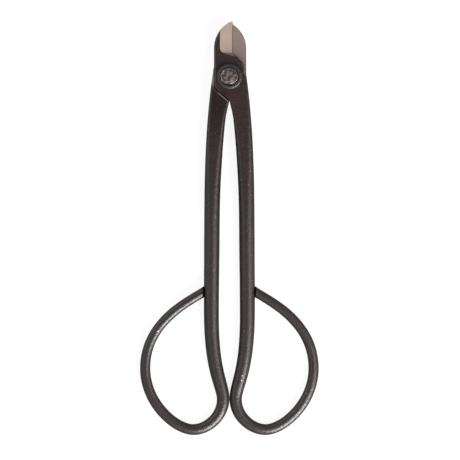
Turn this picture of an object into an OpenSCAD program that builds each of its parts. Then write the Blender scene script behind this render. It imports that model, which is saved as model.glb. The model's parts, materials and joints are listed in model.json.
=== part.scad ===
// Floral snips: two forged halves, alike but for the set of their blades, lapped back to back
// and held by one peened rivet that carries a cup washer on each face. Millimetres, lying flat
// on the back rivet head: X across the tool, Y towards the blade tips, Z up through the pivot.

/* [Blades] */
// Pivot to the tip of the front blade
front_blade_len = 27.5; // [25.5:0.05:32]
// Pivot to the tip of the back blade
back_blade_len = 27.05; // [25:0.05:32]
// Pivot line to the straight back of the front blade
front_blade_back = 7.6; // [6.8:0.05:8.6]
// Pivot line to the straight back of the back blade
back_blade_back = 8.35; // [6.8:0.05:8.6]
// How far the front blade's closed edge passes the pivot line
front_blade_lap = 1.65; // [0.5:0.05:2]
// How far the back blade's closed edge passes the pivot line
back_blade_lap = 0.8; // [0.5:0.05:2]
// Radius of the front blade's rounded nose
front_nose_r = 14.7; // [12:0.1:18]
// Radius of the back blade's rounded nose
back_nose_r = 14; // [12:0.1:17]
// Flat left on the point of a blade
tip_flat = 0.8; // [0.4:0.1:1]
// Pivot to the heel of the cutting edge
heel_len = 11.9; // [10.6:0.1:13]
// Width of the ground bevel
bevel_w = 6; // [4.5:0.1:7]
// Width of the steep cutting edge along the bevel's foot
edge_w = 0.35; // [0.2:0.05:0.5]
// Height of the cutting edge, where it meets the bevel
edge_h = 0.6; // [0.4:0.05:0.9]
// Thickness left at the very edge
edge_land = 0.1; // [0.05:0.05:0.2]
// Corner radius of the ground bevel at the heel
bevel_corner_r = 2.5; // [1.5:0.1:4]
// Lean of the wall at the bevel's heel
bevel_end_lean = 24; // [15:1:35]

/* [Lap joint] */
// Thickness of one half at the lap joint
lap_t = 4; // [3.2:0.1:5]
// Running gap between the two lap faces
lap_gap = 0.06; // [0.04:0.01:0.1]
// Radius of the shoulder that sweeps from the heel into the arm
shoulder_r = 6.9; // [6.2:0.1:7.6]
// Sideways place of the shoulder's centre
shoulder_x = 1.2; // [0.6:0.1:1.8]
// Height of the shoulder's centre above the pivot
shoulder_y = 2.6; // [1.5:0.1:3.5]
// Radius of the tail that turns against the other arm
tail_r = 9.3; // [8.8:0.1:10]
// Direction of the tail's flat, below the cross line
tail_angle = 50; // [44:1:56]
// Gap between a tail and the arm that it closes on
tail_gap = 0.4; // [0.3:0.05:0.8]
// Rounding of the forged edges at the joint
edge_r = 1.2; // [0.8:0.1:1.8]

/* [Rivet and washers] */
// Diameter of the rivet's shank
shank_d = 6; // [5:0.1:7]
// Running clearance round the shank
shank_gap = 0.05; // [0.02:0.01:0.1]
// Diameter of a rivet head
head_d = 9.2; // [8:0.1:9.8]
// Height of a rivet head above its half
head_h = 2; // [1.6:0.1:2.6]
// Rise of the peened head's crown
crown_h = 0.3; // [0.2:0.05:0.5]
// Bevelled rim of a rivet head
head_rim = 0.4; // [0.2:0.05:0.6]
// Diameter of a washer
washer_d = 13; // [12:0.1:14]
// Height of a washer's rim
washer_h = 1.6; // [1.3:0.1:2]
// Thickness of the washer under the rivet head
washer_floor = 0.6; // [0.4:0.05:0.9]
// Rounding of the washer's outer rim
washer_round = 1.1; // [0.7:0.1:1.2]
// Gap round a rivet head inside its washer
cup_gap = 0.5; // [0.3:0.05:0.7]
// End play of the front half under its washer
end_play = 0.05; // [0.03:0.01:0.1]

/* [Arms] */
// Clear space between the arms at the crotch
crotch_gap = 0.4; // [0.3:0.05:1]
// Pivot to the place where the arms' splay eases
neck_len = 22; // [19:0.5:26]
// Clear space between the arms where the splay eases
neck_gap = 4.3; // [3.8:0.1:5.2]
// Rounding of an arm's edges where the splay eases
neck_r = 1.7; // [1.3:0.1:2.4]
// Pivot to the straight middle of an arm
middle_len = 75; // [60:1:90]
// Clear space between the arms at the middle
middle_gap = 9.8; // [8:0.1:11]
// Width of an arm at its middle
middle_w = 7.65; // [6.6:0.05:8.6]
// Thickness of an arm at its middle
middle_t = 7.6; // [6.4:0.1:8]
// Pivot to the lower end of the straight arm
grip_len = 118; // [112:1:126]
// Clear space between the arms at their lower ends
grip_gap = 10.6; // [9:0.1:12]
// Diameter of the bar at the lower end of an arm
grip_d = 7.4; // [6.6:0.1:8]

/* [Finger loops] */
// Lower end of the arm to the place where the loops meet
waist_len = 43.2; // [38:0.1:48]
// Gap between the two closed loops where they meet
loop_gap = 0.3; // [0.2:0.05:1.5]
// Bar diameter where the loops meet
waist_d = 6.1; // [5.4:0.1:6.6]
// Drop from there to the lowest point of the bar's axis
base_drop = 15.2; // [13:0.1:18]
// Pivot line to the lowest point of a loop
base_x = 18.1; // [16:0.1:21]
// Bar diameter at the lowest point
base_d = 5.3; // [4.9:0.1:6]
// Rise from the lowest point to the widest point
side_rise = 30.7; // [27:0.1:34]
// Half the tool's overall width across the loops
reach = 44.6; // [40:0.1:49]
// Bar diameter at the widest point
side_d = 5; // [4.4:0.1:5.6]
// Rise from the widest point to the end on the arm
end_rise = 38.3; // [35:0.1:41]
// Bar diameter at the loop's end
end_d = 4.5; // [4:0.1:5.2]
// Angle at which the loop's end comes up to the arm
end_angle = 36; // [26:1:44]
// Hairline seam between the loop's end and the arm
seam_gap = 0.2; // [0.15:0.05:0.5]
// Bevelled rim of the loop's end
end_rim = 0.4; // [0.2:0.05:0.8]

/* [Hidden] */

// Fineness of the forgings: steps round one section corner and along each stretch
corner_steps = 7;
nose_steps = 8;
shoulder_steps = 8;
tail_steps = 3;
neck_steps = 3;
arm_steps = 8;
bar_steps = [8, 10, 12, 11];
// A section corner takes at most this share of the section's smaller half
full_round = 0.985;
// Longer than any cut needs to reach
past = 60;

// Slopes of the arm's edges, sideways per length, at the shoulder, crotch, neck and middle
shoulder_splay = 0.15;
crotch_splay = 0.22;
neck_splay = 0.1;
middle_splay = 0.004;
// Growth of the edges' rounding, per length, at the crotch and the neck
round_growth = 0.04;
// Handle lengths of the loop's curve, as shares of each stretch: leaving, arriving
waist_pull = [0.70, 0.17];
base_pull = [0.54, 0.50];
side_pull = [0.36, 0.58];
end_pull = [0.63, 0.24];

// Heights in the assembly
mid_z = head_h + lap_t + lap_gap / 2;
front_seat_z = head_h + 2 * lap_t + lap_gap + end_play;

// Heights and corners of one half, measured from the middle of the lap
lap_z = lap_gap / 2;
face_z = lap_z + lap_t;
tail_x = -tail_r * cos(tail_angle);
tail_y = -tail_r * sin(tail_angle);
crotch_y = tail_y - (crotch_gap / 2 - tail_x) / tan(tail_angle);
bevel_angle = atan((lap_t - edge_h) / bevel_w);
edge_angle = atan((edge_h - edge_land) / edge_w);

// Places along the loop
waist_y = -grip_len - waist_len;
base_y = waist_y - base_drop;
side_y = base_y + side_rise;
end_y = side_y + end_rise;
end_x = outer_edge(-end_y) + seam_gap;

// A blade is given as [back, lap, length, nose radius]: its nose, its heel's run into the shoulder, its tail
front_blade = [front_blade_back, front_blade_lap, front_blade_len, front_nose_r];
back_blade = [back_blade_back, back_blade_lap, back_blade_len, back_nose_r];
function nose_x(blade) = blade[3] - blade[0];
function tip_angle(blade) = acos((nose_x(blade) - blade[1] + tip_flat) / blade[3]);
function nose_y(blade) = blade[2] - blade[3] * sin(tip_angle(blade));
function heel_turn(blade) =
    let (run = [blade[1] - shoulder_x, heel_len - shoulder_y])
    atan2(run[1], run[0]) - acos(shoulder_r / norm(run));
function touch_x(blade) = shoulder_x + shoulder_r * cos(heel_turn(blade));
function touch_y(blade) = shoulder_y + shoulder_r * sin(heel_turn(blade));
function tail_top(blade) = -sqrt(tail_r * tail_r - blade[0] * blade[0]);

// Smooth curve through rows of [place, value, slope]
function smooth(rows, s, i = 0) =
    i < len(rows) - 2 && s > rows[i + 1][0] ? smooth(rows, s, i + 1) :
    let (a = rows[i], b = rows[i + 1], run = b[0] - a[0],
         t = max(0, min(1, (s - a[0]) / run)), u = 1 - t)
    u * u * (1 + 2 * t) * a[1] + t * u * u * run * a[2]
    + t * t * (3 - 2 * t) * b[1] - t * t * u * run * b[2];

// Edges, thickness and rounding of an arm at distance s below the pivot
function outer_edge(s) = smooth([
    [-shoulder_y, shoulder_x + shoulder_r, shoulder_splay],
    [middle_len, middle_gap / 2 + middle_w, middle_splay],
    [grip_len, grip_gap / 2 + grip_d, 0]], s);
function inner_edge(s) = smooth([
    [-crotch_y, crotch_gap / 2, crotch_splay],
    [neck_len, neck_gap / 2, neck_splay],
    [middle_len, middle_gap / 2, middle_splay],
    [grip_len, grip_gap / 2, 0]], s);
function half_thickness(s) = smooth([
    [neck_len, face_z, 0], [middle_len, middle_t / 2, 0], [grip_len, grip_d / 2, 0]], s);
function edge_rounding(s) = smooth([
    [-crotch_y, edge_r, round_growth], [neck_len, neck_r, round_growth],
    [middle_len, middle_t / 2, 0], [grip_len, grip_d / 2, 0]], s);

// Right and left outline of a half that lies blade on the left, arm on the right
function right_side(blade, y) =
    y >= heel_len ? blade[1] :
    y >= touch_y(blade) ?
        blade[1] + (touch_x(blade) - blade[1]) * (heel_len - y) / (heel_len - touch_y(blade)) :
    y >= shoulder_y ? shoulder_x + sqrt(shoulder_r * shoulder_r - pow(y - shoulder_y, 2)) :
    outer_edge(-y);
function left_side(blade, y) =
    y >= nose_y(blade) ? nose_x(blade) - sqrt(pow(blade[3], 2) - pow(y - nose_y(blade), 2)) :
    y >= tail_top(blade) ? -blade[0] :
    y >= tail_y ? -sqrt(tail_r * tail_r - y * y) :
    y >= crotch_y ? tail_x + (tail_y - y) * tan(tail_angle) :
    inner_edge(-y);

// One section: a rounded rectangle about point c, spread along direction n and up
function section(c, n, half_w, half_t, round_r) =
    let (r = min(round_r, full_round * min(half_w, half_t)))
    [for (q = [0:3], k = [0:corner_steps])
        let (a = 90 * (q + k / corner_steps),
             u = (q == 0 || q == 3 ? half_w - r : r - half_w) + r * cos(a),
             v = (q < 2 ? half_t - r : r - half_t) + r * sin(a))
        [c[0] + n[0] * u, c[1] + n[1] * u, v]];

// Sections straight across the tool, from the blade tip to the lower end of the arm
function steps_between(a, b, n) = [for (i = [1:n]) a + (b - a) * i / n];
function arc_rows(y, r, turn, n) = [for (i = [0:n]) y + r * sin(turn * (1 - i / n))];
function cross_rows(blade) = concat(
    arc_rows(nose_y(blade), blade[3], tip_angle(blade), nose_steps),
    [heel_len],
    arc_rows(shoulder_y, shoulder_r, heel_turn(blade), shoulder_steps),
    steps_between(shoulder_y, tail_top(blade), tail_steps),
    steps_between(tail_top(blade), tail_y, tail_steps),
    steps_between(tail_y, crotch_y, tail_steps),
    steps_between(crotch_y, -neck_len, neck_steps),
    steps_between(-neck_len, -middle_len, arm_steps),
    steps_between(-middle_len, -grip_len, arm_steps));
function cross_section(blade, y) =
    let (left = left_side(blade, y), right = right_side(blade, y))
    section([(left + right) / 2, y], [1, 0], (right - left) / 2, half_thickness(-y), edge_rounding(-y));

// The bar's axis round the loop: one cubic stretch between each two of these stations
function stations() = [
    [[grip_gap / 2 + grip_d / 2, -grip_len], [0, -1], grip_d],
    [[loop_gap / 2 + waist_d / 2, waist_y], [0, -1], waist_d],
    [[base_x, base_y], [1, 0], base_d],
    [[reach - side_d / 2, side_y], [0, 1], side_d],
    [[end_x, end_y], [-cos(end_angle), sin(end_angle)], end_d]];
function handles() = [
    waist_len * waist_pull,
    [base_drop * base_pull[0], (base_x - loop_gap / 2 - waist_d / 2) * base_pull[1]],
    [(reach - side_d / 2 - base_x) * side_pull[0], side_rise * side_pull[1]],
    [end_rise * end_pull[0], (reach - side_d / 2 - end_x) * end_pull[1]]];
function bar_section(i, t) =
    let (a = stations()[i], b = stations()[i + 1], h = handles()[i], u = 1 - t,
         p0 = a[0], p1 = a[0] + a[1] * h[0], p2 = b[0] - b[1] * h[1], p3 = b[0],
         along = u * u * (p1 - p0) + 2 * u * t * (p2 - p1) + t * t * (p3 - p2),
         d = a[2] + (b[2] - a[2]) * t)
    section(u * u * u * p0 + 3 * u * u * t * p1 + 3 * u * t * t * p2 + t * t * t * p3,
            [-along[1], along[0]] / norm(along), d / 2, d / 2, d / 2);
function bar_rows() =
    [for (i = [0:3], k = [1:bar_steps[i]]) if (i < 3 || k < bar_steps[i]) bar_section(i, k / bar_steps[i])];
// The loop's end is cut parallel to the arm, with a bevelled rim
function end_rows() =
    [for (rim = [0, 1])
        section([end_x + end_rim * (1 - rim), end_y - end_rim * (1 - rim) * tan(end_angle)], [0, -1],
                (end_d / 2 - end_rim * rim) / cos(end_angle), end_d / 2 - end_rim * rim, end_d / 2)];

// Skin over a row of sections, closed at both ends
module skin(rows) {
    n = len(rows[0]);
    last = len(rows) - 1;
    polyhedron(
        points = [for (row = rows) each row],
        faces = concat(
            [[for (k = [0:n - 1]) k]],
            [for (i = [0:last - 1], k = [0:n - 1])
                let (a = i * n + k, b = i * n + (k + 1) % n)
                each [[a, b + n, b], [a, a + n, b + n]]],
            [[for (k = [0:n - 1]) (last + 1) * n - 1 - k]]),
        convexity = 10);
}

// Room under the lap for the other half, from its tail to past its blade
module lap_relief() {
    r = tail_r + tail_gap;
    flat = [r * cos(tail_angle), -r * sin(tail_angle)];
    translate([0, 0, lap_z - past])
        linear_extrude(past) {
            circle(r);
            polygon([
                [0, 0], flat, flat - past * [sin(tail_angle), cos(tail_angle)],
                [-past, past], [past, past], [past, 0]]);
        }
}

// Ground bevel: floor rising from the edge to the face, rounded corner and leaning end wall
module bevel_cut(blade) {
    translate([blade[1] - edge_w, heel_len, lap_z + edge_h])
        rotate([0, bevel_angle, 0])
            hull()
                for (h = [0, 2 * lap_t])
                    translate([-h * tan(bevel_angle), -h * tan(bevel_end_lean) / cos(bevel_angle), h])
                        linear_extrude(0.01)
                            bevel_outline(bevel_w / cos(bevel_angle));
}

module bevel_outline(w) {
    translate([bevel_corner_r - w, bevel_corner_r])
        circle(bevel_corner_r, $fn = 32);
    translate([bevel_corner_r - w, 0])
        square([past, past]);
    translate([-w, bevel_corner_r])
        square([past, past]);
}

// Steep cutting edge along the foot of the bevel
module edge_cut(blade) {
    translate([blade[1] - edge_w, heel_len, lap_z + edge_h])
        rotate([0, edge_angle, 0])
            cube(past);
}

// One forging with its lap face towards -Z, blade on the left and arm on the right
module half(blade) {
    difference() {
        skin(concat([for (y = cross_rows(blade)) cross_section(blade, y)], bar_rows(), end_rows()));
        lap_relief();
        bevel_cut(blade);
        edge_cut(blade);
        translate([0, 0, -past / 2])
            cylinder(d = shank_d + 2 * shank_gap, h = past);
    }
}

module back_half() {
    color("#3a3331")
        translate([0, 0, mid_z])
            rotate([0, 180, 0])
                half(back_blade);
}

module front_half() {
    color("#403836")
        translate([0, 0, mid_z])
            half(front_blade);
}

// Flat head at the back, crowned head at the front, each on the floor of its washer
module pivot_rivet() {
    head_r = head_d / 2;
    crown_r = (head_r * head_r + crown_h * crown_h) / (2 * crown_h);
    back_t = head_h - washer_floor;
    front_z = front_seat_z + washer_floor;
    color("#8a7d74")
        rotate_extrude() {
            polygon([[0, 0], [head_r - head_rim, 0], [head_r, head_rim], [head_r, back_t], [0, back_t]]);
            translate([0, back_t / 2])
                square([shank_d / 2, front_z]);
            intersection() {
                translate([0, front_z])
                    polygon([[0, 0], [head_r, 0], [head_r, back_t - head_rim],
                             [head_r - head_rim, back_t], [0, back_t]]);
                translate([0, front_z + back_t - crown_r])
                    circle(crown_r, $fn = 128);
            }
        }
}

// Cup washer seated on Z = 0, with a recess for the rivet head and a rounded outer rim
module cup_washer() {
    r = washer_d / 2;
    rotate_extrude()
        difference() {
            union() {
                square([r - washer_round, washer_h]);
                square([r, washer_h - washer_round]);
                intersection() {
                    square([r, washer_h]);
                    translate([r - washer_round, washer_h - washer_round])
                        circle(washer_round);
                }
            }
            square([2 * (shank_d / 2 + shank_gap), 2 * washer_h], center = true);
            translate([0, washer_floor])
                square([head_d / 2 + cup_gap, washer_h]);
        }
}

module back_washer() {
    color("#37302e")
        translate([0, 0, head_h])
            rotate([180, 0, 0])
                cup_washer();
}

module front_washer() {
    color("#37302e")
        translate([0, 0, front_seat_z])
            cup_washer();
}

back_half();
front_half();
pivot_rivet();
back_washer();
front_washer();
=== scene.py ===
"""Floral snips: two black forged halves with bare ground blades and lap faces, a hammered rivet
and two cup washers, laid closed on a pale table and seen from straight above."""

import json
import math

import bpy
from mathutils import Matrix, Vector


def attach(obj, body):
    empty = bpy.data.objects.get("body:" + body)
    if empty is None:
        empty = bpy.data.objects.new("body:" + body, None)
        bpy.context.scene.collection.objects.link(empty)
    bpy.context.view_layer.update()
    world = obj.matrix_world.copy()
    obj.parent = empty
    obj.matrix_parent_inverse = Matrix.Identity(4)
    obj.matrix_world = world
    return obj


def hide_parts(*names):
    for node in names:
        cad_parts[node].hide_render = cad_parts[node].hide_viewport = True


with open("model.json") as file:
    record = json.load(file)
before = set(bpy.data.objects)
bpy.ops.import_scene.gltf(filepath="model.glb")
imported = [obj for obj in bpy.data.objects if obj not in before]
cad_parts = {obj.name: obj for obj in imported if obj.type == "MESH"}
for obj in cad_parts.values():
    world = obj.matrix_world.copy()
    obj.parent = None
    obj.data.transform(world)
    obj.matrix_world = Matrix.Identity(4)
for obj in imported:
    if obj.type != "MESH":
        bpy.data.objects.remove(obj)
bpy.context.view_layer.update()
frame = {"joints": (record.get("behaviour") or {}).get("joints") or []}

MM = 0.001

# Sizes of the solids, in millimetres. A blade is its back and its closed edge, each measured from the
# pivot line, its length and the radius of its nose.
FRONT_BLADE = (7.6, 1.65, 27.5, 14.7)
BACK_BLADE = (8.35, 0.8, 27.05, 14.0)
TIP_FLAT = 0.8
HEEL_LEN = 11.9
BEVEL_W = 6.0
EDGE_W = 0.35
EDGE_H = 0.6
EDGE_LAND = 0.1
BEVEL_CORNER_R = 2.5
BEVEL_END_LEAN = math.radians(24)

LAP_T = 4.0
LAP_GAP = 0.06
SHOULDER_R = 6.9
SHOULDER_X = 1.2
SHOULDER_Y = 2.6
TAIL_R = 9.3
TAIL_ANGLE = math.radians(50)
TAIL_GAP = 0.4
EDGE_R = 1.2

SHANK_D = 6.0
SHANK_GAP = 0.05
HEAD_D = 9.2
HEAD_H = 2.0
CROWN_H = 0.3
HEAD_RIM = 0.4
WASHER_D = 13.0
WASHER_H = 1.6
WASHER_FLOOR = 0.6
WASHER_ROUND = 1.1
END_PLAY = 0.05

CROTCH_GAP = 0.4
NECK_LEN = 22.0
NECK_GAP = 4.3
NECK_R = 1.7
MIDDLE_LEN = 75.0
MIDDLE_GAP = 9.8
MIDDLE_W = 7.65
MIDDLE_T = 7.6
GRIP_LEN = 118.0
GRIP_GAP = 10.6
GRIP_D = 7.4

WAIST_LEN = 43.2
WAIST_D = 6.1
BASE_DROP = 15.2
BASE_X = 18.1
BASE_D = 5.3
SIDE_RISE = 30.7
REACH = 44.6
SIDE_D = 5.0
END_RISE = 38.3
END_D = 4.5
END_ANGLE = math.radians(36)

# Slopes of the arm's edges, and handle lengths of the loop's curve, leaving and arriving
SHOULDER_SPLAY = 0.15
CROTCH_SPLAY = 0.22
NECK_SPLAY = 0.1
MIDDLE_SPLAY = 0.004
ROUND_GROWTH = 0.04
WAIST_PULL = (0.70, 0.17)
BASE_PULL = (0.54, 0.50)
SIDE_PULL = (0.36, 0.58)
END_PULL = (0.63, 0.24)

# Tighter here than between the solids: rivet head to cup, loop to loop, a loop's end to its arm, which it
# enters by a hair so that no light comes through, and that end's bevelled rim
CUP_GAP = 0.2
LOOP_GAP = 0.012
SEAM_GAP = -0.02
END_RIM = 0.25

# How much fuller than the solids the forgings' sides are, and how uneven their skin is, with its
# swellings per metre
FULLNESS = 0.08
UNEVENNESS = 0.1
UNEVENNESS_SCALE = 90.0

# Width and depth of the bare worn edge where an arm steps down to its lap face
STEP_WEAR_W = 0.48
STEP_WEAR_D = 0.25

# The band at a loop's butted end, painted near-black as painted shade in the seam: its length, its rows
# with the cap, and the share of the last curve that the round bar runs
SEAM_BAND = 0.4
SEAM_ROWS = 4
BAR_STOP = 0.95

# Small edges of the turned pieces: in and down from the corner of each rivet head, the share of the front
# head that its side and rim take, the edge of a washer's seat and the lip of its cup
BACK_CORNER = (0.1, 0.25)
FRONT_CORNER = (0.12, 0.15)
HEAD_SIDE = 0.75
SEAT_EDGE = 0.25
CUP_LIP = 0.08

# The hammered head: its sides, its length over its width, how far under it the hammering starts, its dents
HEAD_SIDES = 11.0
HEAD_FLATNESS = 0.89
UNDER_HEAD = 0.1
DENTS_PER_METRE = 800.0
DENT_DEPTH = 0.06

# What follows from the sizes
MID_Z = frame["joints"][0]["pos_m"][2] / MM
LAP_Z = LAP_GAP / 2
FACE_Z = LAP_Z + LAP_T
FRONT_SEAT_Z = HEAD_H + 2 * LAP_T + LAP_GAP + END_PLAY
TAIL_X = -TAIL_R * math.cos(TAIL_ANGLE)
TAIL_Y = -TAIL_R * math.sin(TAIL_ANGLE)
CROTCH_Y = TAIL_Y - (CROTCH_GAP / 2 - TAIL_X) / math.tan(TAIL_ANGLE)
BEVEL_ANGLE = math.atan((LAP_T - EDGE_H) / BEVEL_W)
EDGE_ANGLE = math.atan((EDGE_H - EDGE_LAND) / EDGE_W)
WAIST_Y = -GRIP_LEN - WAIST_LEN
BASE_Y = WAIST_Y - BASE_DROP
SIDE_Y = BASE_Y + SIDE_RISE
END_Y = SIDE_Y + END_RISE

# Fineness of the forgings: steps round one section corner, along a section's flat, and down the bar
CORNER_STEPS = 10
FLAT_STEPS = 6
NOSE_STEPS = 40
HEEL_STEPS = 8
SHOULDER_STEPS = 24
TAIL_STEPS = 12
NECK_STEPS = 18
ARM_STEPS = 44
LOOP_STEPS = (48, 40, 52, 52)
# The most of a section's half size that its corner takes
FULL_ROUND = 0.985

# Fineness of the cuts and the turned pieces
LAP_STEPS = 32
BEVEL_STEPS = 16
BORE_STEPS = 96
LATHE_STEPS = 160
CROWN_RINGS = 26
WASHER_STEPS = 12
LIP_STEPS = 5

# Further than any cut has to reach, the angle past which a corner stays sharp, and points nearer than this,
# in metres, become one
PAST = 60.0
SHARP_ANGLE = math.radians(22)
WELD = 1e-7

# The stage, in metres: half the table and the middle of the picture
TABLE = 3.0
MIDDLE = Vector((0.0003, -0.0766, 0))


class Wire:
    """A socket of a node tree for Python's operators: an expression on values adds its Math nodes."""

    def __init__(self, tree, socket=None):
        self.tree = tree
        self.socket = socket

    def node(self, kind, settings=None, inputs=None, output=0):
        """Adds a node: its settings first, then the values or links of its sockets."""
        new = self.tree.nodes.new(kind)
        for name, value in (settings or {}).items():
            setattr(new, name, value)
        for key, value in (inputs or {}).items():
            if isinstance(value, Wire):
                self.tree.links.new(value.socket, new.inputs[key])
            else:
                new.inputs[key].default_value = value
        return Wire(self.tree, new.outputs[output])

    def maths(self, operation, *values):
        return self.node("ShaderNodeMath", {"operation": operation}, dict(enumerate(values)))

    def vector(self, operation, *values):
        return self.node("ShaderNodeVectorMath", {"operation": operation}, dict(enumerate(values)))

    def scaled(self, factor):
        return self.node("ShaderNodeVectorMath", {"operation": "SCALE"}, {0: self, 3: factor})

    def part(self, axis):
        return self.node("ShaderNodeSeparateXYZ", None, {0: self}, axis)

    def between(self, low, high, smooth=True):
        """0 below low, 1 above high, eased in between unless smooth is off."""
        kind = "SMOOTHSTEP" if smooth else "LINEAR"
        return self.node("ShaderNodeMapRange", {"interpolation_type": kind}, {0: self, 1: low, 2: high})

    def blend(self, first, second):
        """The first colour where this value is 0, the second where it is 1, by Mix's colour sockets."""
        return self.node("ShaderNodeMix", {"data_type": "RGBA"}, {0: self, 6: first, 7: second}, 2)

    def __add__(self, other):
        return self.maths("ADD", self, other)

    def __sub__(self, other):
        return self.maths("SUBTRACT", self, other)

    def __rsub__(self, other):
        return self.maths("SUBTRACT", other, self)

    def __mul__(self, other):
        return self.maths("MULTIPLY", self, other)

    def __truediv__(self, other):
        return self.maths("DIVIDE", self, other)

    def __rtruediv__(self, other):
        return self.maths("DIVIDE", other, self)

    __radd__ = __add__
    __rmul__ = __mul__


def geometry_tree(name, inputs):
    """A new Geometry Nodes tree with named inputs; returns the tree and a wire from each input."""
    tree = bpy.data.node_groups.new(name, "GeometryNodeTree")
    tree.interface.new_socket("Geometry", in_out="INPUT", socket_type="NodeSocketGeometry")
    tree.interface.new_socket("Geometry", in_out="OUTPUT", socket_type="NodeSocketGeometry")
    for label, kind in inputs.items():
        tree.interface.new_socket(label, in_out="INPUT", socket_type="NodeSocket" + kind)
    given = tree.nodes.new("NodeGroupInput")
    return tree, {socket.name: Wire(tree, socket) for socket in given.outputs if socket.name}


def give_result(tree, geometry, material, chosen=True):
    """Ends a tree: instances made real, material set on the chosen faces."""
    real = geometry.node("GeometryNodeRealizeInstances", None, {0: geometry})
    paint = {"Geometry": real, "Selection": chosen, "Material": material}
    painted = real.node("GeometryNodeSetMaterial", None, paint)
    result = tree.nodes.new("NodeGroupOutput")
    tree.links.new(painted.socket, result.inputs[0])


def add_tree(piece, tree, values):
    """Puts a tree on a piece, its inputs set by the sockets' identifiers."""
    modifier = piece.modifiers.new(tree.name, "NODES")
    modifier.node_group = tree
    for item in tree.interface.items_tree:
        if item.in_out == "INPUT" and item.name in values:
            modifier[item.identifier] = values[item.name]


def plain_mesh(piece, name):
    """The piece as its modifiers leave it, as a plain mesh."""
    graph = bpy.context.evaluated_depsgraph_get()
    mesh = bpy.data.meshes.new_from_object(piece.evaluated_get(graph), depsgraph=graph)
    mesh.name = name
    return mesh


def new_object(name, data):
    made = bpy.data.objects.new(name, data)
    bpy.context.scene.collection.objects.link(made)
    return made


def discard(*objects):
    for old in objects:
        bpy.data.objects.remove(old)


def spread(first, last, count):
    """Even steps after first, up to and with last."""
    return [first + (last - first) * i / count for i in range(1, count + 1)]


# The forging's rule


def smooth(rows, s):
    """A smooth curve through rows of place, value and slope."""
    i = 0
    while i < len(rows) - 2 and s > rows[i + 1][0]:
        i += 1
    (a, value_a, slope_a), (b, value_b, slope_b) = rows[i], rows[i + 1]
    run = b - a
    t = min(1.0, max(0.0, (s - a) / run))
    u = 1 - t
    ends = u * u * (1 + 2 * t) * value_a + t * t * (3 - 2 * t) * value_b
    return ends + t * u * run * (u * slope_a - t * slope_b)


def outer_edge(s):
    return smooth(
        [
            (-SHOULDER_Y, SHOULDER_X + SHOULDER_R, SHOULDER_SPLAY),
            (MIDDLE_LEN, MIDDLE_GAP / 2 + MIDDLE_W, MIDDLE_SPLAY),
            (GRIP_LEN, GRIP_GAP / 2 + GRIP_D, 0),
        ],
        s,
    )


def inner_edge(s):
    return smooth(
        [
            (-CROTCH_Y, CROTCH_GAP / 2, CROTCH_SPLAY),
            (NECK_LEN, NECK_GAP / 2, NECK_SPLAY),
            (MIDDLE_LEN, MIDDLE_GAP / 2, MIDDLE_SPLAY),
            (GRIP_LEN, GRIP_GAP / 2, 0),
        ],
        s,
    )


def half_thickness(s):
    return smooth([(NECK_LEN, FACE_Z, 0), (MIDDLE_LEN, MIDDLE_T / 2, 0), (GRIP_LEN, GRIP_D / 2, 0)], s)


def edge_rounding(s):
    return smooth(
        [
            (-CROTCH_Y, EDGE_R, ROUND_GROWTH),
            (NECK_LEN, NECK_R, ROUND_GROWTH),
            (MIDDLE_LEN, MIDDLE_T / 2, 0),
            (GRIP_LEN, GRIP_D / 2, 0),
        ],
        s,
    )


class Blade:
    """Outline of one half that lies blade on the left, arm on the right."""

    def __init__(self, back, lap, length, nose_r):
        self.back = back
        self.lap = lap
        self.nose_r = nose_r
        self.nose_x = nose_r - back
        self.tip_angle = math.acos((self.nose_x - lap + TIP_FLAT) / nose_r)
        self.nose_y = length - nose_r * math.sin(self.tip_angle)
        run_x = lap - SHOULDER_X
        run_y = HEEL_LEN - SHOULDER_Y
        self.heel_turn = math.atan2(run_y, run_x) - math.acos(SHOULDER_R / math.hypot(run_x, run_y))
        self.touch_x = SHOULDER_X + SHOULDER_R * math.cos(self.heel_turn)
        self.touch_y = SHOULDER_Y + SHOULDER_R * math.sin(self.heel_turn)
        self.tail_top = -math.sqrt(TAIL_R**2 - back**2)

    def right(self, y):
        if y >= HEEL_LEN:
            return self.lap
        if y >= self.touch_y:
            share = (HEEL_LEN - y) / (HEEL_LEN - self.touch_y)
            return self.lap + (self.touch_x - self.lap) * share
        if y >= SHOULDER_Y:
            return SHOULDER_X + math.sqrt(SHOULDER_R**2 - (y - SHOULDER_Y) ** 2)
        return outer_edge(-y)

    def left(self, y):
        if y >= self.nose_y:
            return self.nose_x - math.sqrt(self.nose_r**2 - (y - self.nose_y) ** 2)
        if y >= self.tail_top:
            return -self.back
        if y >= TAIL_Y:
            return -math.sqrt(TAIL_R**2 - y * y)
        if y >= CROTCH_Y:
            return TAIL_X + (TAIL_Y - y) * math.tan(TAIL_ANGLE)
        return inner_edge(-y)

    def rows(self):
        """Heights of the sections straight across the tool, from the tip to the end of the arm."""
        nose = [
            self.nose_y + self.nose_r * math.sin(self.tip_angle * (1 - i / NOSE_STEPS))
            for i in range(NOSE_STEPS + 1)
        ]
        turn = [
            SHOULDER_Y + SHOULDER_R * math.sin(self.heel_turn * (1 - i / SHOULDER_STEPS))
            for i in range(SHOULDER_STEPS + 1)
        ]
        return (
            nose
            + spread(self.nose_y, HEEL_LEN, HEEL_STEPS)
            + spread(HEEL_LEN, self.touch_y, HEEL_STEPS)[:-1]
            + turn
            + spread(SHOULDER_Y, self.tail_top, TAIL_STEPS)
            + spread(self.tail_top, TAIL_Y, TAIL_STEPS)
            + spread(TAIL_Y, CROTCH_Y, 2 * TAIL_STEPS)
            + spread(CROTCH_Y, -NECK_LEN, NECK_STEPS)
            + spread(-NECK_LEN, -MIDDLE_LEN, ARM_STEPS)
            + spread(-MIDDLE_LEN, -GRIP_LEN, ARM_STEPS)
        )


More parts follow.
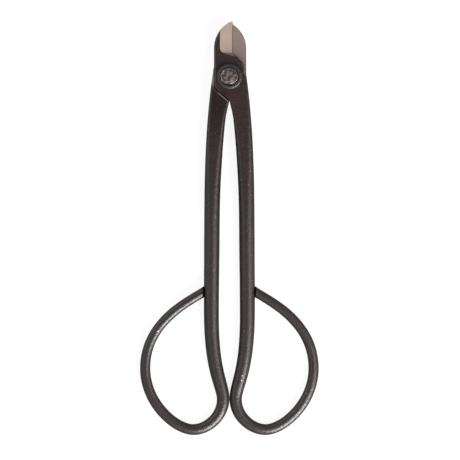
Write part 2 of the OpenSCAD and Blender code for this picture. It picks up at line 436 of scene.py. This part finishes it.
def section(centre, across, half_w, half_t, corner):
    """One row of the spine: a rounded rectangle's place, direction, half sizes and corner."""
    half_w = half_w + FULLNESS
    return centre, across, half_w, half_t, min(corner, FULL_ROUND * min(half_w, half_t))


def cross_section(blade, y):
    left = blade.left(y)
    right = blade.right(y)
    centre = Vector(((left + right) / 2, y))
    return section(centre, Vector((1, 0)), (right - left) / 2, half_thickness(-y), edge_rounding(-y))


def loop_sections():
    """Sections square to the bar's axis round the finger loop: one cubic between each two stations."""
    end_x = outer_edge(-END_Y) + FULLNESS + SEAM_GAP
    side_x = REACH - SIDE_D / 2
    waist_x = LOOP_GAP / 2 + FULLNESS + WAIST_D / 2
    stations = [
        (Vector((GRIP_GAP / 2 + GRIP_D / 2, -GRIP_LEN)), Vector((0, -1)), GRIP_D),
        (Vector((waist_x, WAIST_Y)), Vector((0, -1)), WAIST_D),
        (Vector((BASE_X, BASE_Y)), Vector((1, 0)), BASE_D),
        (Vector((side_x, SIDE_Y)), Vector((0, 1)), SIDE_D),
        (Vector((end_x, END_Y)), Vector((-math.cos(END_ANGLE), math.sin(END_ANGLE))), END_D),
    ]
    handles = [
        (WAIST_LEN * WAIST_PULL[0], WAIST_LEN * WAIST_PULL[1]),
        (BASE_DROP * BASE_PULL[0], (BASE_X - waist_x) * BASE_PULL[1]),
        ((side_x - BASE_X) * SIDE_PULL[0], SIDE_RISE * SIDE_PULL[1]),
        (END_RISE * END_PULL[0], (side_x - end_x) * END_PULL[1]),
    ]
    made = []
    for i, count in enumerate(LOOP_STEPS):
        (start, leaving, d_start), (stop, arriving, d_stop) = stations[i], stations[i + 1]
        p1 = start + leaving * handles[i][0]
        p2 = stop - arriving * handles[i][1]
        for t in spread(0, BAR_STOP if i == len(LOOP_STEPS) - 1 else 1, count):
            u = 1 - t
            place = u**3 * start + 3 * u * u * t * p1 + 3 * u * t * t * p2 + t**3 * stop
            along = (u * u * (p1 - start) + 2 * u * t * (p2 - p1) + t * t * (stop - p2)).normalized()
            d = d_start + (d_stop - d_start) * t
            made.append(section(place, Vector((-along.y, along.x)), d / 2, d / 2, d / 2))
    return made + end_sections(end_x)


def end_sections(end_x):
    """The loop's end, cut parallel to the arm with a bevelled rim."""
    made = []
    for back, rim in ((END_RIM + SEAM_BAND, 0), (END_RIM, 0), (0, END_RIM)):
        centre = Vector((end_x + back, END_Y - back * math.tan(END_ANGLE)))
        radius = END_D / 2 - rim
        made.append(section(centre, Vector((0, -1)), radius / math.cos(END_ANGLE), radius, END_D / 2))
    return made


def closed(rows):
    """The rows with a flat cap at both ends: a last section that shrinks to its centre."""
    first = (*rows[0][:2], 0, 0, 0)
    last = (*rows[-1][:2], 0, 0, 0)
    return [first] + rows + [last]


def spine_mesh(name, rows):
    """One point per section, with what the skin needs to know there, in metres."""
    mesh = bpy.data.meshes.new(name)
    mesh.from_pydata([(row[0].x * MM, row[0].y * MM, 0) for row in rows], [], [])
    across = mesh.attributes.new("across", "FLOAT_VECTOR", "POINT")
    across.data.foreach_set("vector", [part for row in rows for part in (*row[1], 0)])
    for k, label in enumerate(("half_width", "half_thickness", "corner")):
        values = mesh.attributes.new(label, "FLOAT", "POINT")
        values.data.foreach_set("value", [row[k + 2] * MM for row in rows])
    seam = mesh.attributes.new("butted", "FLOAT", "POINT")
    seam.data.foreach_set("value", [float(i >= len(rows) - SEAM_ROWS) for i in range(len(rows))])
    return mesh


def skin_tree():
    """Geometry Nodes that stretch a forged skin over a spine of sections."""
    tree, given = geometry_tree(
        "forged_skin",
        {
            "Corner Steps": "Int",
            "Flat Steps": "Int",
            "Unevenness": "Float",
            "Unevenness Scale": "Float",
            "Skin": "Material",
            "Seam": "Material",
        },
    )
    start = Wire(tree)
    spine = given["Geometry"]
    quarter_steps = given["Corner Steps"] + given["Flat Steps"]
    columns = quarter_steps * 4 + 1
    rings = start.node("GeometryNodeAttributeDomainSize", {"component": "MESH"}, {0: spine})
    grid = start.node("GeometryNodeMeshGrid", None, {"Vertices X": rings, "Vertices Y": columns})

    # Half a step is added before a floor, so that rounding can't reach the next ring or quarter
    index = start.node("GeometryNodeInputIndex")
    ring = start.maths("FLOOR", (index + 0.5) / columns)
    column = index - ring * columns

    def of_spine(value, kind):
        """A value of the spine at this point's ring."""
        return start.node("GeometryNodeSampleIndex", {"data_type": kind}, {0: spine, 1: value, 2: ring})

    def at_ring(label, kind):
        named = start.node("GeometryNodeInputNamedAttribute", {"data_type": kind}, {"Name": label})
        return of_spine(named, kind)

    centre = of_spine(start.node("GeometryNodeInputPosition"), "FLOAT_VECTOR")
    across = at_ring("across", "FLOAT_VECTOR")
    corner = at_ring("corner", "FLOAT")
    reach_w = at_ring("half_width", "FLOAT") - corner
    reach_t = at_ring("half_thickness", "FLOAT") - corner

    quarter = start.maths("FLOOR", (column + 0.5) / quarter_steps)
    step = column - quarter * quarter_steps
    turned = start.maths("MINIMUM", step, given["Corner Steps"]) / given["Corner Steps"]
    passed = start.maths("MAXIMUM", step - given["Corner Steps"], 0.0) / given["Flat Steps"]
    angle = (quarter + turned) * (math.pi / 2)
    here = (quarter + 0.5) * (math.pi / 2)
    there = here + math.pi / 2

    def side(wave):
        """Which way the corner's centre lies, sliding to the next corner along the flat."""
        near = start.maths(wave, here) * math.sqrt(2)
        far = start.maths(wave, there) * math.sqrt(2)
        return near + (far - near) * passed

    sideways = side("COSINE") * reach_w + start.maths("COSINE", angle) * corner
    upwards = side("SINE") * reach_t + start.maths("SINE", angle) * corner
    lift = start.node("ShaderNodeCombineXYZ", None, {"Z": upwards})
    place = start.vector("ADD", start.vector("ADD", centre, across.scaled(sideways)), lift)

    # How near a point is to the ridge of its corner, on the outer side and where corners are sharp
    no_less = start.maths("MAXIMUM", at_ring("half_thickness", "FLOAT"), WELD)
    outer_side = place.part("X").between(2 * MM, 4 * MM)
    ridge = 4 * turned * (1 - turned) * (1 - corner / no_less) * outer_side
    skin = grid
    for label, value in (("edge", ridge), ("seam", at_ring("butted", "FLOAT"))):
        stored = {0: skin, "Name": label, "Value": value}
        skin = start.node("GeometryNodeStoreNamedAttribute", {"data_type": "FLOAT"}, stored)
    skin = start.node("GeometryNodeSetPosition", None, {0: skin, "Position": place})
    skin = start.node("GeometryNodeMergeByDistance", None, {0: skin, "Distance": WELD})
    skin = start.node("GeometryNodeFlipFaces", None, {0: skin})
    uneven = start.node("ShaderNodeTexNoise", None, {"Scale": given["Unevenness Scale"], "Detail": 2.0})
    normal = start.node("GeometryNodeInputNormal")
    swell = normal.scaled((uneven - 0.5) * given["Unevenness"])
    skin = start.node("GeometryNodeSetPosition", None, {0: skin, "Offset": swell})
    skin = start.node("GeometryNodeSetShadeSmooth", None, {0: skin})
    skin = start.node("GeometryNodeSetMaterial", None, {0: skin, "Material": given["Skin"]})
    # Faces at a loop's butted end take the Seam material, which paints the shade in the seam
    seam = start.node("GeometryNodeInputNamedAttribute", {"data_type": "FLOAT"}, {"Name": "seam"})
    most_of_face = 0.75
    give_result(tree, skin, given["Seam"], start.maths("GREATER_THAN", seam, most_of_face))
    return tree


def arc(centre, radius, first, last, count):
    """Points on an arc, both ends with it."""
    turns = [first + (last - first) * i / count for i in range(count + 1)]
    return [(centre[0] + radius * math.cos(a), centre[1] + radius * math.sin(a)) for a in turns]


def stack(name, levels, material, wall_material=None):
    """A closed solid through outlines at rising heights, each outline anticlockwise."""
    count = len(levels[0][0])
    points = [(x, y, z) for outline, z in levels for x, y in outline]
    top = len(points) - count
    faces = [tuple(reversed(range(count))), tuple(range(top, top + count))]
    for start in range(0, top, count):
        for k in range(count):
            n = (k + 1) % count
            faces.append((start + k, start + n, start + count + n, start + count + k))
    mesh = bpy.data.meshes.new(name)
    mesh.from_pydata(points, [], faces)
    mesh.materials.append(material)
    if wall_material:
        mesh.materials.append(wall_material)
        mesh.polygons.foreach_set("material_index", [int(i > 1) for i in range(len(faces))])
    return new_object(name, mesh)


def lap_outline(grow):
    """Plan of the room for the other half, from its tail to past its blade."""
    r = TAIL_R + TAIL_GAP + grow
    flat = (r * math.cos(TAIL_ANGLE), -r * math.sin(TAIL_ANGLE))
    far = (flat[0] - PAST * math.sin(TAIL_ANGLE), flat[1] - PAST * math.cos(TAIL_ANGLE))
    return [(PAST, 0), (PAST, PAST), (-PAST, PAST), far] + arc((0, 0), r, -TAIL_ANGLE, 0, LAP_STEPS)


def lap_cutter(material):
    """Room under the lap for the other half."""
    plain = lap_outline(0)
    return stack("lap_cutter", [(plain, LAP_Z - PAST), (plain, LAP_Z)], material)


def step_cutter(material):
    """The worn edge of the step down to the lap face."""
    below = (lap_outline(2 * STEP_WEAR_W), -FACE_Z - STEP_WEAR_D)
    above = (lap_outline(-STEP_WEAR_W), -FACE_Z + 2 * STEP_WEAR_D)
    return stack("step_cutter", [below, above], material)


def edge_top(blade):
    """Where the bevel meets the steep cutting edge, at the heel."""
    return Matrix.Translation((blade.lap - EDGE_W, HEEL_LEN, LAP_Z + EDGE_H))


def bevel_cutter(blade, material, wall_material):
    """The ground bevel: a floor that rises from the edge to the face, and a leaning wall at the heel."""
    width = BEVEL_W / math.cos(BEVEL_ANGLE)
    corner = (BEVEL_CORNER_R - width, BEVEL_CORNER_R)
    outline = arc(corner, BEVEL_CORNER_R, math.pi, 1.5 * math.pi, BEVEL_STEPS)
    outline += [(PAST, 0), (PAST, PAST), (-width, PAST)]
    high = 2 * LAP_T
    lean_x = -high * math.tan(BEVEL_ANGLE)
    lean_y = -high * math.tan(BEVEL_END_LEAN) / math.cos(BEVEL_ANGLE)
    leaning = [(x + lean_x, y + lean_y) for x, y in outline]
    made = stack("bevel_cutter", [(outline, 0), (leaning, high)], material, wall_material)
    made.data.transform(edge_top(blade) @ Matrix.Rotation(BEVEL_ANGLE, 4, "Y"))
    return made


def edge_cutter(blade, material):
    """The cutting edge itself: a steep narrow grind below the bevel."""
    outline = [(0, 0), (PAST, 0), (PAST, PAST), (0, PAST)]
    made = stack("edge_cutter", [(outline, 0), (outline, PAST)], material)
    made.data.transform(edge_top(blade) @ Matrix.Rotation(EDGE_ANGLE, 4, "Y"))
    return made


def bore_cutter(material):
    outline = arc((0, 0), SHANK_D / 2 + SHANK_GAP, 0, 2 * math.pi, BORE_STEPS)[:-1]
    return stack("bore_cutter", [(outline, -PAST), (outline, PAST)], material)


def forged_half(name, blade, tree, finishes, placing):
    """One forging: skin, lap face, ground bevel and bore, cut in its own frame and then placed."""
    rows = closed([cross_section(blade, y) for y in blade.rows()] + loop_sections())
    rough = new_object(name + "_rough", spine_mesh(name + "_spine", rows))
    add_tree(
        rough,
        tree,
        {
            "Corner Steps": CORNER_STEPS,
            "Flat Steps": FLAT_STEPS,
            "Unevenness": UNEVENNESS * MM,
            "Unevenness Scale": UNEVENNESS_SCALE,
            "Skin": finishes["oxide"],
            "Seam": finishes["seam"],
        },
    )
    cutters = [
        lap_cutter(finishes["lap"]),
        step_cutter(finishes["step"]),
        bevel_cutter(blade, finishes["bevel"], finishes["heel"]),
        edge_cutter(blade, finishes["edge"]),
        bore_cutter(finishes["lap"]),
    ]
    for cutter in cutters:
        cutter.data.transform(Matrix.Scale(MM, 4))
        cut = rough.modifiers.new(cutter.name, "BOOLEAN")
        cut.operation = "DIFFERENCE"
        cut.solver = "EXACT"
        cut.material_mode = "TRANSFER"
        cut.object = cutter
    mesh = plain_mesh(rough, name)
    discard(rough, *cutters)
    mesh.set_sharp_from_angle(angle=SHARP_ANGLE)
    mesh.transform(placing)
    return new_object(name, mesh)


def lathe(name, profile, material):
    """A closed turned piece: its profile of (radius, height) ends on the axis, or runs round a ring."""
    points = []
    starts = []
    for radius, height in profile:
        starts.append(len(points))
        turns = range(LATHE_STEPS if radius > 0 else 1)
        angles = [2 * math.pi * k / LATHE_STEPS for k in turns]
        points += [(radius * math.cos(a) * MM, radius * math.sin(a) * MM, height * MM) for a in angles]
    pairs = [(i, i + 1) for i in range(len(profile) - 1)]
    if profile[0][0] > 0:
        pairs.append((len(profile) - 1, 0))
    faces = []
    for i, j in pairs:
        for k in range(LATHE_STEPS):
            n = (k + 1) % LATHE_STEPS
            low = (starts[i] + k, starts[i] + n) if profile[i][0] > 0 else (starts[i],)
            high = (starts[j] + n, starts[j] + k) if profile[j][0] > 0 else (starts[j],)
            faces.append(low + high)
    mesh = bpy.data.meshes.new(name)
    mesh.from_pydata(points, [], faces)
    mesh.materials.append(material)
    return mesh


def rounded(centre, radius, first, last, steps):
    """Profile points round a turned edge; angles in degrees."""
    return arc(centre, radius, math.radians(first), math.radians(last), steps)


def finished(name, mesh):
    """A turned mesh as a piece, smooth but for its sharp corners."""
    mesh.polygons.foreach_set("use_smooth", [True] * len(mesh.polygons))
    mesh.set_sharp_from_angle(angle=SHARP_ANGLE)
    return new_object(name, mesh)


def washer_profile():
    """Cup washer seated on height 0: inner wall of the bore, seat, round outer rim, lip and recess."""
    bore = SHANK_D / 2 + SHANK_GAP
    outer = WASHER_D / 2
    cup = HEAD_D / 2 + CUP_GAP
    return (
        [(bore, 0), (outer - SEAT_EDGE, 0), (outer, SEAT_EDGE)]
        + rounded((outer - WASHER_ROUND, WASHER_H - WASHER_ROUND), WASHER_ROUND, 0, 90, WASHER_STEPS)
        + rounded((cup + CUP_LIP, WASHER_H - CUP_LIP), CUP_LIP, 90, 180, LIP_STEPS)
        + [(cup, WASHER_FLOOR), (bore, WASHER_FLOOR)]
    )


def rivet_profile():
    """Flat bevelled back head, shank, and a crowned front head with rings enough to hammer."""
    head = HEAD_D / 2
    thick = HEAD_H - WASHER_FLOOR
    seat = FRONT_SEAT_Z + WASHER_FLOOR
    crown_r = (head**2 + CROWN_H**2) / (2 * CROWN_H)
    inside = head - HEAD_RIM
    crown = [inside * (1 - i / CROWN_RINGS) for i in range(CROWN_RINGS + 1)]
    return (
        [(0, 0), (inside, 0), (head - BACK_CORNER[0], BACK_CORNER[1]), (head, HEAD_RIM), (head, thick)]
        + [(SHANK_D / 2, thick), (SHANK_D / 2, seat)]
        + [(head, seat), (head, seat + HEAD_SIDE * thick - HEAD_RIM)]
        + [(head - FRONT_CORNER[0], seat + thick - CROWN_H - FRONT_CORNER[1])]
        + [(r, seat + thick - crown_r + math.sqrt(crown_r**2 - r * r)) for r in crown]
    )


def hammered_tree():
    """Geometry Nodes that peen a turned rivet: a many-sided front head, its crown covered with dents."""
    tree, given = geometry_tree(
        "hammered_head",
        {
            "Seat Height": "Float",
            "Sides": "Float",
            "Flatness": "Float",
            "Dents per Metre": "Float",
            "Dent Depth": "Float",
            "Steel": "Material",
        },
    )
    start = Wire(tree)
    place = start.node("GeometryNodeInputPosition")
    x = place.part("X")
    y = place.part("Y")
    z = place.part("Z")
    above_seat = z - given["Seat Height"]

    # Unequal sides round the front head, which is a little wider than long
    hair = 0.05 * MM
    front = above_seat.between(-hair, hair)
    angle = start.maths("ARCTAN2", y, x) - math.pi / 2
    uneven = angle
    for times, sway in ((2, 0.09), (3, 0.06)):
        uneven = uneven + sway * start.maths("SINE", times * angle)
    turn = uneven * given["Sides"] / (2 * math.pi) + 0.5
    within = (start.maths("FRACT", turn) - 0.5) * (2 * math.pi) / given["Sides"]
    side = start.maths("COSINE", math.pi / given["Sides"]) / start.maths("COSINE", within)
    across = 1 + (side - 1) * front
    lengthwise = across * (1 - (1 - given["Flatness"]) * front)
    plan = start.node("ShaderNodeCombineXYZ", None, {"X": x * across, "Y": y * lengthwise})

    # Dents on the crown, pushed out of line
    push = 1.6 * MM
    drift = start.node("ShaderNodeTexNoise", None, {"Vector": plan, "Scale": 400.0, "Detail": 1.0}, 1)
    pushed = start.vector("SUBTRACT", drift, (0.5, 0.5, 0.5)).scaled(push)
    cells = start.node(
        "ShaderNodeTexVoronoi",
        {"voronoi_dimensions": "2D", "feature": "SMOOTH_F1"},
        {"Vector": start.vector("ADD", plan, pushed), "Scale": given["Dents per Metre"], "Smoothness": 0.35},
    )
    crown = above_seat.between(1.18 * MM, 1.34 * MM)
    dent_reach = 0.7
    down = given["Dent Depth"] * (1 - start.maths("MINIMUM", cells / dent_reach, 1.0)) * crown
    spot = start.node("ShaderNodeCombineXYZ", None, {"X": x * across, "Y": y * lengthwise, "Z": z - down})
    rivet = start.node("GeometryNodeSetPosition", None, {0: given["Geometry"], "Position": spot})
    rivet = start.node("GeometryNodeSetShadeSmooth", None, {0: rivet})
    give_result(tree, rivet, given["Steel"])
    return tree


# Materials


def new_material(name):
    """An empty material with its Principled shader; returns both and a wire to build on."""
    material = bpy.data.materials.new(name)
    material.use_nodes = True
    shader = material.node_tree.nodes["Principled BSDF"]
    return material, shader, Wire(material.node_tree)


def link(wire, shader, socket):
    wire.tree.links.new(wire.socket, shader.inputs[socket])


def neutral(level):
    return (level, level, level, 1)


def object_coordinates(start):
    return start.node("ShaderNodeTexCoord", None, None, "Object")


def noise(start, coords, scale, detail, roughness=0.5):
    """Clouds from 0 to 1, with scale swells per metre."""
    settings = {"Vector": coords, "Scale": scale, "Detail": detail, "Roughness": roughness}
    return start.node("ShaderNodeTexNoise", None, settings)


def bump(start, height, depth):
    return start.node("ShaderNodeBump", None, {"Strength": 1.0, "Distance": depth, "Height": height})


def black_oxide(name, gloss):
    """Satin black oxide over forged steel: half a dull brown and grey body, half a satin shine, with painted
    shade below the step.
    """
    material, shader, start = new_material(name)
    coords = object_coordinates(start)
    along = coords.part("Y")
    edge = start.node("ShaderNodeAttribute", {"attribute_name": "edge"}, None, "Fac")
    clouds = noise(start, coords, scale=130.0, detail=3.0)
    mottle = noise(start, coords, scale=640.0, detail=2.0)
    grain = noise(start, coords, scale=1150.0, detail=2.0, roughness=0.6)
    relief = bump(start, grain + 0.4 * mottle, 0.17 * MM)

    # Bare flecks on the boss's outer edge beside the pivot, and tiny bare specks all over
    flecks = noise(start, coords, scale=1300.0, detail=1.0).between(0.36, 0.58)
    beside_pivot = along.between(0.0, 2 * MM) * (1 - along.between(5.8 * MM, 7.4 * MM))
    wear = edge.between(0.15, 0.6) * flecks * beside_pivot
    specks = noise(start, coords, scale=900.0, detail=0.0).between(0.835, 0.865)
    bare = start.maths("MAXIMUM", 0.8 * wear, specks)

    # Painted shade below the step, left of the pivot, but not on the outer edge
    left = 1 - coords.part("X").between(-3 * MM, MM)
    below_step = along.between(-38 * MM, -14 * MM) * (1 - along.between(-8.5 * MM, -6.5 * MM))
    painted_shade = below_step * left * (1 - edge.between(0.05, 0.4))

    # Brown clouds round the joint, grey between them, and an even tone where hands rub
    brown = (0.0224, 0.0064, 0.0060, 1)
    grey = (0.0150, 0.0072, 0.0068, 1)
    rubbed = (0.0205, 0.0118, 0.0116, 1)
    handled = 1 - along.between(-85 * MM, -55 * MM)
    # The brown clouds fade in the painted shade below the step
    rusty = clouds.between(0.34, 0.58) * along.between(-34 * MM, -8 * MM) * (1 - 0.9 * painted_shade)
    colour = handled.blend(rusty.blend(grey, brown), rubbed)
    dull = {"Base Color": colour, "Roughness": 0.8, "Specular IOR Level": 0.0, "Normal": relief}
    body = start.node("ShaderNodeBsdfPrincipled", None, dull)

    worn = (0.42, 0.39, 0.38, 1)
    # In the painted shade the shine is dimmed to about half
    sheen = (0.55 * painted_shade).blend(neutral(0.068), neutral(0.0))
    link(bare.blend(sheen, worn), shader, "Base Color")
    link(gloss + 0.12 * mottle + 0.08 * grain, shader, "Roughness")
    link(relief, shader, "Normal")
    shader.inputs["Metallic"].default_value = 1.0
    shader.inputs["Specular Tint"].default_value = neutral(0.5)
    halves = {0: 0.5, 1: Wire(start.tree, shader.outputs[0]), 2: body}
    link(start.node("ShaderNodeMixShader", None, halves), start.tree.nodes["Material Output"], "Surface")
    return material


def painted_shade_seam(name):
    """Painted shade in the seam where a loop's end butts against its arm: near-black, mottled, without
    reflection.
    """
    material, shader, start = new_material(name)
    painted_shade = noise(start, object_coordinates(start), scale=1500.0, detail=2.0)
    deep = neutral(0.001)
    paler_shade = (0.006, 0.005, 0.005, 1)
    link(painted_shade.blend(deep, paler_shade), shader, "Base Color")
    shader.inputs["Roughness"].default_value = 0.8
    shader.inputs["Specular IOR Level"].default_value = 0.0
    return material


def ground_steel(name, tint, line_scale):
    """Bare ground steel: fine grinding lines and faint stains, duller towards the joint, with a painted
    highlight beside the boss.
    """
    material, shader, start = new_material(name)
    coords = object_coordinates(start)
    across = coords.part("X")
    along = coords.part("Y")
    drawn_out = start.node("ShaderNodeMapping", None, {"Vector": coords, "Scale": line_scale})
    lines = noise(start, drawn_out, scale=1.0, detail=4.0, roughness=0.65)
    stains = noise(start, coords, scale=300.0, detail=3.0)

    def shade(share):
        return tuple(share * part for part in tint) + (1,)

    # Lighter towards the tip, a painted highlight on the strip left of the boss, which lies in the boss's
    # shadow, and darker and blotchy at the tail
    near_tip = along.between(6 * MM, 20 * MM, False)
    painted_highlight_strip = (1 - across.between(-8.2 * MM, -7.2 * MM)) * (1 - along.between(4 * MM, 8 * MM))
    tail = (1 - along.between(-8.5 * MM, -5.5 * MM)) * (0.6 + 0.8 * stains)
    colour = (0.2 * stains + 0.15 * lines + 0.75 * near_tip).blend(shade(0.70), shade(1))
    darker_at_tail = (0.16, 0.15, 0.15, 1)
    link(tail.blend(painted_highlight_strip.blend(colour, shade(1.45)), darker_at_tail), shader, "Base Color")
    shader.inputs["Metallic"].default_value = 1.0
    link(0.33 + 0.10 * lines, shader, "Roughness")
    link(bump(start, lines, 0.006 * MM), shader, "Normal")
    return material


# What stays black where the steel isn't rubbed or ground
BLACKENED = (0.012, 0.008, 0.007, 1)


def dull_heel(name):
    """The wall at the bevel's heel: half ground, half black, with stains, and painted shade towards the
    cutting edge.
    """
    material, shader, start = new_material(name)
    coords = object_coordinates(start)
    stains = noise(start, coords, scale=1100.0, detail=3.0)
    across = coords.part("X")
    ragged = (across + 4 * MM * (stains - 0.5)).between(-4.2 * MM, MM)
    # Painted shade past 1.4 mm towards the cutting edge, where the ground share drops to a third
    ground_with_painted_shade = ragged * (1 - 0.7 * across.between(1.4 * MM, 2.4 * MM))
    bare = (0.38, 0.32, 0.295, 1)
    link(ground_with_painted_shade.blend(BLACKENED, bare), shader, "Base Color")
    link(ground_with_painted_shade, shader, "Metallic")
    link(0.40 + 0.10 * stains, shader, "Roughness")
    return material


def worn_step(name):
    """The step's edge: rubbed bare in the middle, black towards both ends."""
    material, shader, start = new_material(name)
    coords = object_coordinates(start)
    mottle = noise(start, coords, scale=900.0, detail=2.0)
    from_middle = start.maths("ABSOLUTE", coords.part("X")) + 3 * MM * (mottle - 0.5)
    rubbed = (1 - from_middle.between(4.6 * MM, 6 * MM)) * mottle.between(0.15, 0.45)
    bare = (0.33, 0.26, 0.22, 1)
    link(rubbed.blend(BLACKENED, bare), shader, "Base Color")
    link(rubbed, shader, "Metallic")
    link(0.60 - 0.22 * rubbed, shader, "Roughness")
    return material


def peened_steel(name):
    """Hammered bare steel: rubbed patches among black scale, and a burnished rim that is partly a painted
    highlight.
    """
    material, shader, start = new_material(name)
    coords = object_coordinates(start)
    scale = noise(start, coords, scale=2000.0, detail=2.0)
    rubbed = noise(start, coords, scale=950.0, detail=1.0)
    polish = (0.6 * rubbed + 0.4 * scale).between(0.45, 0.62)
    scaly = (0.040, 0.032, 0.031, 1)
    polished = (0.190, 0.151, 0.136, 1)
    burnished_with_highlight = (0.38, 0.335, 0.325, 1)

    # The rim, burnished and partly a painted highlight, painted less light towards the lower right, where
    # the key light falls on it
    sideways = coords.part("X")
    lengthwise = coords.part("Y") / HEAD_FLATNESS
    from_axis = start.maths("SQRT", sideways * sideways + lengthwise * lengthwise)
    lower_right = (sideways - lengthwise).between(-MM, 3.5 * MM)
    rim = from_axis.between(3.8 * MM, 4.1 * MM) * (0.4 + 0.5 * polish) * (1 - 0.8 * lower_right)
    link(rim.blend(polish.blend(scaly, polished), burnished_with_highlight), shader, "Base Color")
    shader.inputs["Metallic"].default_value = 1.0
    link(0.43 + 0.15 * scale, shader, "Roughness")
    link(bump(start, scale, 0.035 * MM), shader, "Normal")
    return material


# Swells per metre along each axis: grinding lines run along X on a lap face, along Y on a bevel
LAP_LINES = (300, 5000, 300)
BEVEL_LINES = (5000, 300, 300)

washer_oxide = black_oxide("washer_oxide", 0.42)
finishes = {
    "oxide": black_oxide("black_oxide", 0.25),
    "seam": painted_shade_seam("painted_shade_seam"),
    "lap": ground_steel("ground_lap", (0.434, 0.335, 0.284), LAP_LINES),
    "bevel": ground_steel("ground_bevel", (0.440, 0.341, 0.291), BEVEL_LINES),
    "edge": ground_steel("ground_edge", (0.34, 0.262, 0.224), BEVEL_LINES),
    "heel": dull_heel("dull_heel"),
    "step": worn_step("worn_step"),
}
steel = peened_steel("peened_steel")

# The pieces
skin = skin_tree()
lift = Matrix.Translation((0, 0, MID_Z * MM))
turned_over = lift @ Matrix.Rotation(math.pi, 4, "Y")
front_forging = forged_half("front_forging", Blade(*FRONT_BLADE), skin, finishes, lift)
back_forging = forged_half("back_forging", Blade(*BACK_BLADE), skin, finishes, turned_over)

blank = new_object("rivet_blank", lathe("rivet_blank", rivet_profile(), steel))
add_tree(
    blank,
    hammered_tree(),
    {
        "Seat Height": (FRONT_SEAT_Z + WASHER_FLOOR - UNDER_HEAD) * MM,
        "Sides": HEAD_SIDES,
        "Flatness": HEAD_FLATNESS,
        "Dents per Metre": DENTS_PER_METRE,
        "Dent Depth": DENT_DEPTH * MM,
        "Steel": steel,
    },
)
hammered_rivet = finished("hammered_rivet", plain_mesh(blank, "hammered_rivet"))
discard(blank)

front_cup = lathe("front_cup", washer_profile(), washer_oxide)
front_cup.transform(Matrix.Translation((0, 0, FRONT_SEAT_Z * MM)))
front_cup_washer = finished("front_cup_washer", front_cup)
back_cup = lathe("back_cup", washer_profile(), washer_oxide)
back_cup.transform(Matrix.Translation((0, 0, HEAD_H * MM)) @ Matrix.Rotation(math.pi, 4, "X"))
back_cup_washer = finished("back_cup_washer", back_cup)

for piece, body, node, slot in (
    (front_forging, "front", "front_half", "black_forging"),
    (back_forging, "back", "back_half", "black_forging"),
    (hammered_rivet, "back", "pivot_rivet", "rivet_steel"),
    (front_cup_washer, "back", "front_washer", "black_washer"),
    (back_cup_washer, "back", "back_washer", "black_washer"),
):
    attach(piece, body)
    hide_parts(node)

# The table, tilted a little so that the rivet's back head and both loops lie on it. It shows white by its
# own light, over a dark base that takes little of the lamps'.
rivet_y = -(HEAD_D / 2 - HEAD_RIM)
lowest = [(row[0].y, MID_Z - row[3] - UNEVENNESS / 2) for row in loop_sections()]
slope = min(z / (rivet_y - y) for y, z in lowest)
table_mesh = bpy.data.meshes.new("table_top")
corners = [(-TABLE, -TABLE), (TABLE, -TABLE), (TABLE, TABLE), (-TABLE, TABLE)]
table_mesh.from_pydata([(x, y, slope * (rivet_y * MM - y)) for x, y in corners], [], [(0, 1, 2, 3)])
table = new_object("table_top", table_mesh)
table_material, table_shader = new_material("white_table")[:2]
table_shader.inputs["Base Color"].default_value = neutral(0.09)
table_shader.inputs["Roughness"].default_value = 0.9
table_shader.inputs["Emission Color"].default_value = neutral(1.0)
table_shader.inputs["Emission Strength"].default_value = 0.89
table_mesh.materials.append(table_material)

# Studio light: a pale tent with a dim opening overhead, and four soft boxes
world = bpy.data.worlds.new("studio")
world.use_nodes = True
bpy.context.scene.world = world
room = Wire(world.node_tree)
height = room.node("ShaderNodeTexCoord", None, None, "Generated").part("Z")
opening = height.between(0.86, 0.985)
tent = neutral(0.56)
overhead = neutral(0.26)
link(opening.blend(tent, overhead), world.node_tree.nodes["Background"], "Color")


def soft_box(name, aim, azimuth, elevation, distance, size, radiance):
    """A rectangular soft box aimed at a spot of the tool; azimuth runs from +X towards +Y, in degrees."""
    turn = math.radians(azimuth)
    rise = math.radians(elevation)
    away = Vector((math.cos(rise) * math.cos(turn), math.cos(rise) * math.sin(turn), math.sin(rise)))
    light = bpy.data.lights.new(name, "AREA")
    light.shape = "RECTANGLE"
    light.size, light.size_y = size
    light.energy = radiance * math.pi * size[0] * size[1]
    lamp = new_object(name, light)
    lamp.location = aim + away * distance
    lamp.rotation_euler = (-away).to_track_quat("-Z", "Y").to_euler()


low_on_arm = Vector((0.009, -0.14, 0))
soft_box("key_box", MIDDLE, azimuth=-54, elevation=31, distance=0.9, size=(0.6, 0.6), radiance=25.0)
soft_box("right_box", low_on_arm, azimuth=-5, elevation=48, distance=0.32, size=(0.26, 0.26), radiance=2.3)
soft_box("left_box", MIDDLE, azimuth=145, elevation=30, distance=0.9, size=(1.0, 0.6), radiance=2.0)
soft_box("low_box", MIDDLE, azimuth=-125, elevation=45, distance=0.9, size=(0.8, 0.7), radiance=0.9)

# The camera, far enough off for a nearly flat view; FRAME_W is what it sees across the tool's middle plane
SENSOR_W = 36.0
DISTANCE = 1.6
FRAME_W = 0.230
camera_data = bpy.data.cameras.new("camera")
camera_data.sensor_fit = "HORIZONTAL"
camera_data.sensor_width = SENSOR_W
camera_data.lens = SENSOR_W * DISTANCE / FRAME_W
camera_data.clip_start = 0.1
camera_data.clip_end = 20.0
camera = new_object("camera", camera_data)
camera.location = MIDDLE + Vector((0, 0, MID_Z * MM + DISTANCE))
bpy.context.scene.camera = camera

bpy.context.scene.view_settings.view_transform = "Standard"
